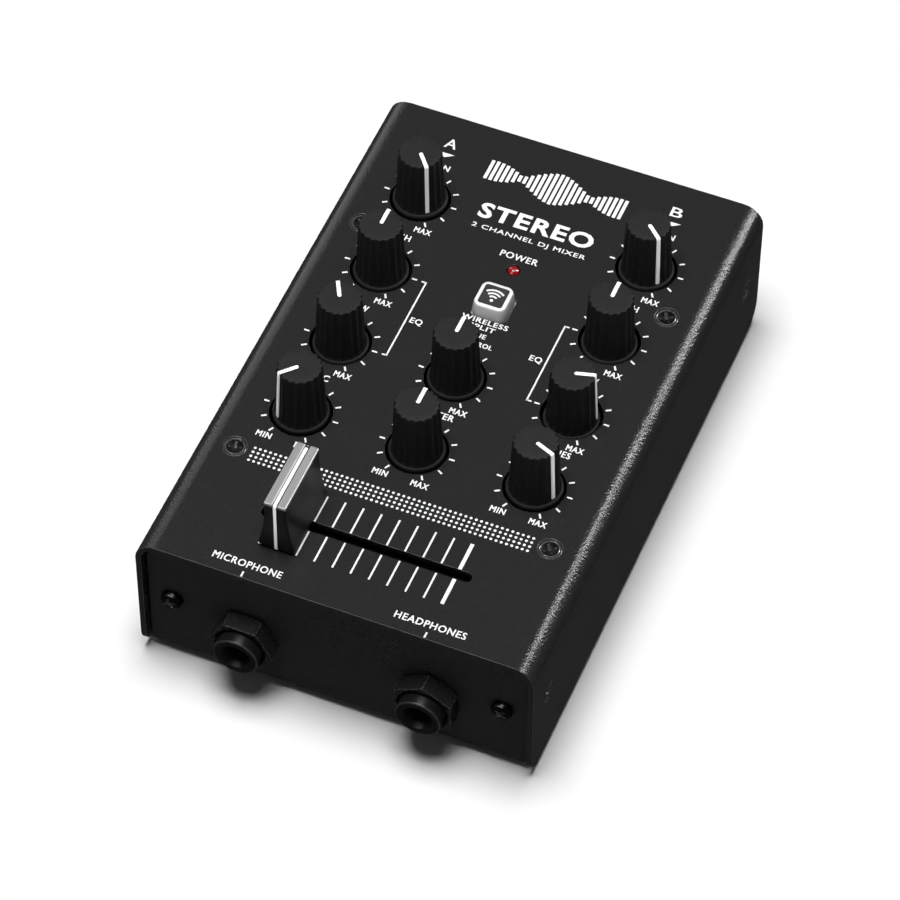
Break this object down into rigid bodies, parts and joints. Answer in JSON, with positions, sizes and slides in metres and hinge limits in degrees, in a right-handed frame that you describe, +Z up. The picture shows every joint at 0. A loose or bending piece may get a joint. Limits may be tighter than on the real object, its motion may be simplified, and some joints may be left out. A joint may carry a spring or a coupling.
{
  "type": "dj mixer",
  "caption": "Compact tabletop DJ mixer: bent sheet case, fluted rotary knobs, a horizontal crossfader, a push button, jack sockets in front and phono sockets behind.",
  "frame": {"origin": "middle of the base, on the surface that the feet stand on", "axes": "+X to the operator's right along the crossfader, +Y away from the operator towards the rear sockets, +Z up out of the controls' face"},
  "size_m": [0.11, 0.1814, 0.0638],
  "materials": {
    "powder_coat": "matt fine-textured powder coat",
    "knob_plastic": "matt, fluted",
    "cap_plastic": "satin black with a silver grip face",
    "white_plastic": "satin",
    "black_plastic": "satin",
    "board": "solder-masked circuit board",
    "bright_steel": "plated sheet steel",
    "black_steel": "black-plated steel",
    "nickel": "nickel plate",
    "red_lens": "clear red epoxy",
    "rubber": "matt"
  },
  "bodies": {
    "case": {"top_cover": "powder_coat", "chassis": "powder_coat", "main_board": "board", "socket_board": "board", "foot_front_left": "rubber", "foot_front_right": "rubber", "foot_rear_left": "rubber", "foot_rear_right": "rubber", "gain_a_potentiometer": "bright_steel", "high_a_potentiometer": "bright_steel", "low_a_potentiometer": "bright_steel", "microphone_potentiometer": "bright_steel", "cue_potentiometer": "bright_steel", "master_potentiometer": "bright_steel", "gain_b_potentiometer": "bright_steel", "high_b_potentiometer": "bright_steel", "low_b_potentiometer": "bright_steel", "phones_potentiometer": "bright_steel", "crossfader_track": "bright_steel", "tact_switch": "black_plastic", "power_led": "red_lens", "microphone_jack": "black_plastic", "headphone_jack": "black_plastic", "microphone_jack_nut": "black_steel", "headphone_jack_nut": "black_steel", "panel_screw_left": "black_steel", "panel_screw_right": "black_steel", "phono_sockets_a": "nickel", "phono_sockets_b": "nickel", "phono_sockets_master": "nickel", "dc_jack": "black_plastic", "power_switch": "bright_steel", "cover_screw_front_left": "black_steel", "cover_screw_front_right": "black_steel", "cover_screw_rear_left": "black_steel", "cover_screw_rear_right": "black_steel"},
    "gain_a_dial": {"gain_a_knob": "knob_plastic", "gain_a_shaft": "bright_steel"},
    "high_a_dial": {"high_a_knob": "knob_plastic", "high_a_shaft": "bright_steel"},
    "low_a_dial": {"low_a_knob": "knob_plastic", "low_a_shaft": "bright_steel"},
    "microphone_dial": {"microphone_knob": "knob_plastic", "microphone_shaft": "bright_steel"},
    "cue_dial": {"cue_knob": "knob_plastic", "cue_shaft": "bright_steel"},
    "master_dial": {"master_knob": "knob_plastic", "master_shaft": "bright_steel"},
    "gain_b_dial": {"gain_b_knob": "knob_plastic", "gain_b_shaft": "bright_steel"},
    "high_b_dial": {"high_b_knob": "knob_plastic", "high_b_shaft": "bright_steel"},
    "low_b_dial": {"low_b_knob": "knob_plastic", "low_b_shaft": "bright_steel"},
    "phones_dial": {"phones_knob": "knob_plastic", "phones_shaft": "bright_steel"},
    "crossfader": {"crossfader_cap": "cap_plastic", "crossfader_lever": "bright_steel"},
    "wireless_push_button": {"wireless_button": "white_plastic"},
    "power_slide": {"power_switch_lever": "black_plastic"}
  },
  "joints": [
    {"name": "gain_a_turn", "type": "hinge", "parent": "case", "child": "gain_a_dial", "pos_m": [-0.0328, 0.0526, 0.0452], "axis": [0, 0, 1], "range_deg": [-9, 291]},
    {"name": "high_a_turn", "type": "hinge", "parent": "case", "child": "high_a_dial", "pos_m": [-0.0328, 0.0251, 0.0452], "axis": [0, 0, 1], "range_deg": [-150, 150]},
    {"name": "low_a_turn", "type": "hinge", "parent": "case", "child": "low_a_dial", "pos_m": [-0.0328, -0.0023, 0.0452], "axis": [0, 0, 1], "range_deg": [-178, 122]},
    {"name": "microphone_turn", "type": "hinge", "parent": "case", "child": "microphone_dial", "pos_m": [-0.0328, -0.0285, 0.0452], "axis": [0, 0, 1], "range_deg": [-286, 14]},
    {"name": "cue_turn", "type": "hinge", "parent": "case", "child": "cue_dial", "pos_m": [0, -0.0023, 0.0452], "axis": [0, 0, 1], "range_deg": [-150, 150]},
    {"name": "master_turn", "type": "hinge", "parent": "case", "child": "master_dial", "pos_m": [0, -0.0285, 0.0452], "axis": [0, 0, 1], "range_deg": [-150, 150]},
    {"name": "gain_b_turn", "type": "hinge", "parent": "case", "child": "gain_b_dial", "pos_m": [0.0328, 0.0526, 0.0452], "axis": [0, 0, 1], "range_deg": [-17, 283]},
    {"name": "high_b_turn", "type": "hinge", "parent": "case", "child": "high_b_dial", "pos_m": [0.0328, 0.0251, 0.0452], "axis": [0, 0, 1], "range_deg": [-150, 150]},
    {"name": "low_b_turn", "type": "hinge", "parent": "case", "child": "low_b_dial", "pos_m": [0.0328, -0.0023, 0.0452], "axis": [0, 0, 1], "range_deg": [-75.5, 224.5]},
    {"name": "phones_turn", "type": "hinge", "parent": "case", "child": "phones_dial", "pos_m": [0.0328, -0.0285, 0.0452], "axis": [0, 0, 1], "range_deg": [-38, 262]},
    {"name": "crossfader_slide", "type": "slide", "parent": "case", "child": "crossfader", "axis": [1, 0, 0], "range_m": [-0.0022, 0.0428]},
    {"name": "wireless_button_press", "type": "slide", "parent": "case", "child": "wireless_push_button", "axis": [0, 0, -1], "range_m": [0, 0.0007], "stiffness_N_per_m": 1000, "springref_m": -0.0003},
    {"name": "power_switch_slide", "type": "slide", "parent": "case", "child": "power_slide", "axis": [1, 0, 0], "range_m": [0, 0.004]}
  ]
}
